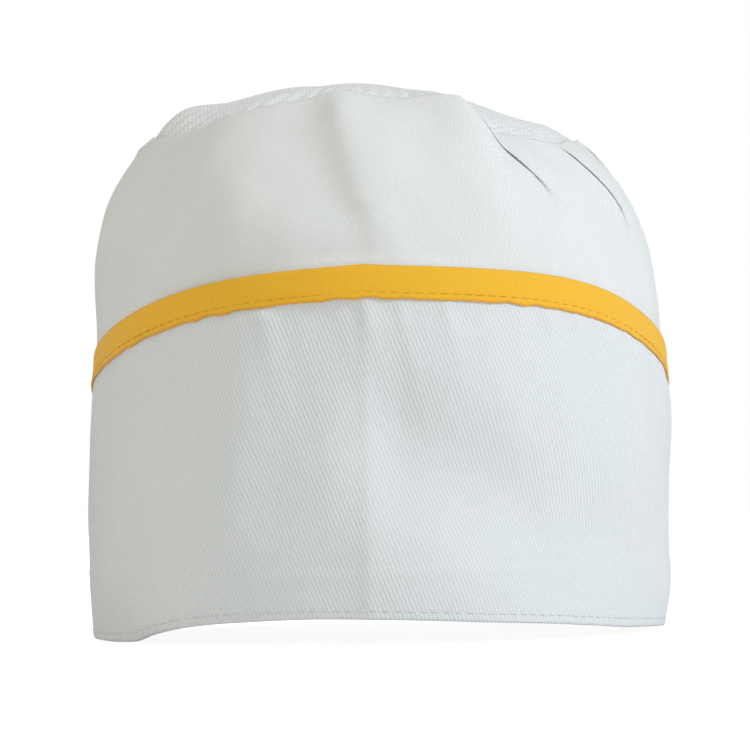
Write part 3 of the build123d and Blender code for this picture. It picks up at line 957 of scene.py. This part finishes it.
def net_top():
    """A sheet of square-set holes, cut to lap under the crown's rim."""
    pitch = NET_PITCH / NET_RADIUS
    half = pitch / math.sqrt(2)  # from a cell's middle to its corners, because the net is set cornerwise
    count = int(1.08 * math.sqrt(2) / pitch) + 2
    i, j = np.mgrid[-count:count, -count:count]
    centres = np.stack([i + j, i - j], -1).reshape(-1, 1, 2) * pitch / math.sqrt(2)
    centres = centres[np.hypot(centres[..., 0], centres[..., 1])[:, 0] < NET_EDGE]
    ways = np.array([(0, -1), (1, 0), (0, 1), (-1, 0)])
    # cells share their corners, and each corner is found by its place in the lattice
    steps = np.rint((centres + ways * half) / half).astype(int)
    unique, corner = np.unique(steps.reshape(-1, 2), axis=0, return_inverse=True)
    corner = corner.reshape(-1, 4)
    draw = np.random.default_rng(8)
    flat = [unique[:, k] * half + draw.normal(0, 0.05 * pitch, len(unique)) for k in (0, 1)]
    hole = NET_HOLE / NET_PITCH * half
    cuts = [centres[..., k] + ways[:, k] * hole * draw.uniform(0.85, 1.12, corner.shape) for k in (0, 1)]
    flat = np.stack([chained(flat[k], cuts[k].ravel()) for k in (0, 1)], -1)
    holes = len(unique) + np.arange(corner.size).reshape(-1, 4)
    total = len(flat)
    points = np.concatenate([on_net(*flat.T, side * NET_THICK / 2) for side in (1, -1)])
    after = [1, 2, 3, 0]
    top = np.stack([corner, corner[:, after], holes[:, after], holes], -1).reshape(-1, 4)
    walls = np.stack([holes, holes[:, after], holes[:, after] + total, holes + total], -1).reshape(-1, 4)
    edges = np.stack([corner, corner[:, after]], -1).reshape(-1, 2).tolist()
    known = set(map(tuple, edges))
    rim = np.array([edge for edge in edges if (edge[1], edge[0]) not in known])
    border = np.stack([rim[:, 1], rim[:, 0], rim[:, 0] + total, rim[:, 1] + total], -1)
    faces = chained(top, (top + total)[:, ::-1], walls, border)
    return points, faces, np.tile(flat * NET_RADIUS, (2, 1))[faces], np.arange(len(faces)) < 2 * len(top)


# ---- the closure at the back ----
def ranges(name, place=back_x, axis=0):
    """The reach of a CAD node round the cap and in height."""
    low, high = corners(name)
    return sorted((place(low[axis]), place(high[axis]))), (low[2], high[2])


def patch(s_range, z_range, outside, thick, corner=0.0, tip=0.0):
    """A flat strip with rolled edges. Its corners at tip are rounded."""
    (s0, s1), (z0, z1) = s_range, z_range
    turn = 0.12 * np.sign(s1 - s0)
    s = np.linspace(s0, s1, int(abs(s1 - s0)) + 1)
    s = np.sort(chained(s, [s0 + turn, s1 - turn]))
    share = chained([0, 0.006, 0.02], np.linspace(0.06, 0.94, 22), [0.98, 0.994, 1])[:, None]
    near = np.clip(corner - np.abs(s - tip), 0, corner)
    cut = corner - np.sqrt(corner**2 - near**2)
    low, high = z0 + cut, z1 - cut
    z = low + (high - low) * share
    edge = np.minimum(np.minimum(z - low, high - z), np.minimum(s - s[0], s[-1] - s))
    roll = thick * 0.3 * (1 - smooth(edge / 0.5))
    out = outside(s) if callable(outside) else outside
    return shell(on_band(s, z, out + thick / 2 - roll), on_band(s, z, out - thick / 2 + roll), stacked(s, z))


def strap_middle(s):
    """Offset of the middle of the strap: on the band at the hinge, and over the patches from the rise on."""
    start, risen = from_back(HINGE_AT), from_back(STRAP_RISEN)
    share = (s - start) / (risen - start)
    return LAYER_GAP + (STRAP_IN - LAYER_GAP) * smooth(share) + STRAP_THICK / 2


loop_s, loop_z = ranges("loop_patch")
hook_s, hook_z = ranges("hook_patch")
label_s, label_z = ranges("care_label", side_y, 1)
anchor_s, _ = ranges("strap_anchor")
strap_s, strap_z = (anchor_s[0], from_back(STRAP_TIP)), ranges("strap")[1]


def lattice(*rows):
    """Places on a patch, from (range, inset at its start, inset at its end, step) each way."""
    return [grid.ravel() for grid in np.meshgrid(*(np.arange(r[0] + i, r[1] - j, step) for r, i, j, step in rows))]


def pile_loops():
    """Small bent loops all over the loop patch."""
    draw = np.random.default_rng(61)
    s, z = lattice((loop_s, 1, 0.8, 1.05), (loop_z, 1, 0.8, 1.05))
    s, z = (values + draw.uniform(-0.35, 0.35, values.size) for values in (s, z))
    way = draw.uniform(0, TURN, s.size)
    bend = np.linspace(0, math.pi, 6)
    reach = -np.cos(bend) * 0.42
    across = s[:, None] + reach * np.cos(way)[:, None]
    heights = z[:, None] + reach * np.sin(way)[:, None]
    tall = draw.uniform(0.3, 0.55, s.size)[:, None]
    paths = on_band(across, heights, 0.5 + np.sin(bend) * tall)
    normals = unit(np.cross(np.gradient(paths, axis=1), paths - on_band(across, heights)))
    return tubes(paths, np.full(paths.shape[:2], 0.075), normals, 4)


def hooks():
    """Rows of small hooks that face the loops."""
    s, z = lattice((hook_s, 1.6, 1.2, 1.5), (hook_z, 1.4, 1, 1.3))
    turn = np.array([0, 0.4, 0.75, 1.0, 0.95, 0.7])
    lean = np.array([0, 0.02, 0.08, 0.3, 0.5, 0.58])
    paths = on_band(s[:, None] + lean, z[:, None], HOOK_TIP + 0.56 - 0.5 * turn)
    normals = np.broadcast_to((0, 0, 1.0), paths.shape)
    return tubes(paths, np.full(paths.shape[:2], 0.09), normals, 4)


# ---- making every piece ----
stiffener = band_layer(STIFFENER_IN, 0.5, 0.85, TRIM_TALL + 0.4, 2.5, 34)
lining = band_layer(LINING_IN, TWILL - 0.02, 1.05, 0, 1.8, 46)
dress("band_outer_cloth", band_outer(), band_cloth, "band_outer")
dress("band_stiffener_felt", stiffener, stiffener_felt, "band_stiffener")
dress("band_lining_cloth", lining, lining_cloth, "band_lining")
dress("sweatband_towelling", sweatband(), towel_cloth, "sweatband")
dress("trim_tape_cloth", trim_tape(), yellow_cloth, "trim_tape")
dress("crown_wall_cloth", crown_wall(), crown_cloth, "crown_wall")
dress("net_top_mesh", net_top(), net_yarn, "net_top")
dress("crown_seam_tape", crown_seam_binding(), binding_cloth, "crown_seam_binding")
dress("vent_binding_tape", vent_binding(), binding_cloth, "vent_binding")
loops = patch(loop_s, loop_z, LOOP_MIDDLE, PATCH_THICK), pile_loops()
dress("loop_patch_pile", join_parts(loops), pile, "loop_patch")
hooked = patch(hook_s, hook_z, HOOK_MIDDLE, PATCH_THICK), hooks()
dress("hook_patch_hooks", join_parts(hooked), plastic, "hook_patch", body="strap")
strap_parts = patch(strap_s, strap_z, strap_middle, STRAP_THICK, STRAP_CORNER, strap_s[1])
strap = dress("strap_cloth", strap_parts, strap_cloth, "strap strap_anchor", body=None)
hinge_start, hinge_end = (Vector(on_band(from_back(degrees), HINGE_Z)) * MM for degrees in (19.5, 10.0))
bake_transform(strap)
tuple(hinge_start)
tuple(hinge_end)
label = patch(label_s, label_z, SWEAT_IN - 0.15, 0.2)
dress("care_label_satin", label, label_satin, "care_label")


# ---- stitching ----
def hem_rows(s):
    return hem_height(s) + HEM_STITCH_UP


def on_strap(s, z, lift):
    return on_band(s, z, strap_middle(s) + STRAP_THICK / 2 + lift)


def on_vent(s, up, lift):
    return on_crown(s, crown_length(s)[0] - up, BINDING_THICK / 2 + lift)


hem_parts = [stitch_tubes(on_band, spaced(-BAND_END + 3, BAND_END - 3), hem_rows)]
for side in (-1, 1):
    rises = spaced(hem_rows(side * BAND_END) + 3, SEAM_BACK - TRIM_TALL - 1)
    hem_parts.append(stitch_tubes(on_band, np.full(len(rises), side * (BAND_END - 3)), rises, True))
vent_s = BACK + spaced(BAND_END - BACK + 1.5, BACK - BAND_END - 1.5)
for row, parts in {
    "hem": join_parts(hem_parts),
    "trim": stitch_tubes(lambda s, z, lift: on_band(s, z, LAYER_GAP + TRIM_THICK - 0.04 + 0.6 * lift),
                         spaced(-BAND_END + 2, BAND_END - 2),
                         lambda s: seam_height(s) - TRIM_TALL + TRIM_STITCH_UP, thread=0.14),
    "vent": stitch_tubes(on_vent, vent_s, VENT_STITCH_UP),
    "loop_patch": stitch_frame(lambda s, z, lift: on_band(s, z, LOOP_FACE + lift), loop_s, 2.5, loop_z, 1.5),
    "anchor": stitch_frame(on_strap, anchor_s, 2.5, strap_z, 2.5),
    "strap": stitch_frame(on_strap, hook_s, 2, strap_z, 5),
}.items():
    thread = yellow_thread if row == "trim" else white_thread
    dress(row + "_stitches", parts, thread, row + "_stitching", body="strap" if row == "strap" else "cap")

# ---- stage ----
SKY_LIGHT, SKY_SEEN, FLOOR_GLOW = (0.365, 0.37, 0.355, 1), (1, 1, 1), 0.92
world = bpy.context.scene.world = bpy.data.worlds.new("studio")
world.use_nodes = True
sky = world.node_tree
inputs = sky.nodes["Background"].inputs
sky.links.new(blended(sky, node(sky, "LightPath"), SKY_LIGHT, SKY_SEEN), inputs["Color"])
inputs["Strength"].default_value = 1.0

bpy.ops.mesh.primitive_grid_add(x_subdivisions=8, y_subdivisions=8, size=6.0, location=(0, 0, -0.0004))
floor = bpy.context.object
floor.name = "floor"
pale, tree, inputs = new_material("pale floor", Base_Color=(0.93, 0.93, 0.93, 1), Roughness=0.9,
                                  Emission_Color=(1, 1, 1, 1))
glow = calc(tree, "MULTIPLY", node(tree, "LightPath"), FLOOR_GLOW)  # only what the camera sees
tree.links.new(glow, inputs["Emission Strength"])
floor.data.materials.append(pale)
floor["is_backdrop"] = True

LIT = Vector((0, 0, 0.08))  # what the lights are aimed at
for name, place, size, power, colour in [
    ("key", (1.26, -0.67, 0.78), 0.4, 13.5, (0.88, 0.94, 1.0)),
    ("fill", (-1.2, -1.0, 0.6), 1.2, 4.1, (1.0, 0.97, 0.76)),
    ("top", (-0.3, -0.1, 1.5), 1.2, 4.2, (1.0, 1.0, 1.0)),
]:
    light = bpy.data.lights.new(name, "AREA")
    light.shape, light.size, light.energy, light.color = "DISK", size, power, colour
    made = in_scene(name, light)
    made.location = place
    made.rotation_euler = (LIT - Vector(place)).to_track_quat("-Z", "Y").to_euler()

# ---- camera ----
DISTANCE, AZIMUTH, EYE_HEIGHT = 1100.0, 2.5, 42.0
AIM_SIDE, AIM_HEIGHT, ROLL_DEGREES = -1.4, 77.8, -1.0
camera = in_scene("camera", bpy.data.cameras.new("camera"))
bpy.context.scene.camera = camera
camera.data.lens = 174.2
camera.data.sensor_width = 36.0
camera.data.clip_start = 0.05
turned = math.radians(AZIMUTH)
eye = Vector((math.sin(turned) * DISTANCE, CENTRE_Y - math.cos(turned) * DISTANCE, EYE_HEIGHT))
aim = Vector((AIM_SIDE * math.cos(turned), CENTRE_Y + AIM_SIDE * math.sin(turned), AIM_HEIGHT))
look = (aim - eye).to_track_quat("-Z", "Y")
camera.location = eye * MM
camera.rotation_euler = (look.to_matrix() @ Matrix.Rotation(math.radians(ROLL_DEGREES), 3, "Z")).to_euler()

bpy.context.scene.view_settings.view_transform = "Standard"
bpy.context.view_layer.update()
[[list(map(float, corner)) for corner in bounds] for bounds in (cad_bounds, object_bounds())]
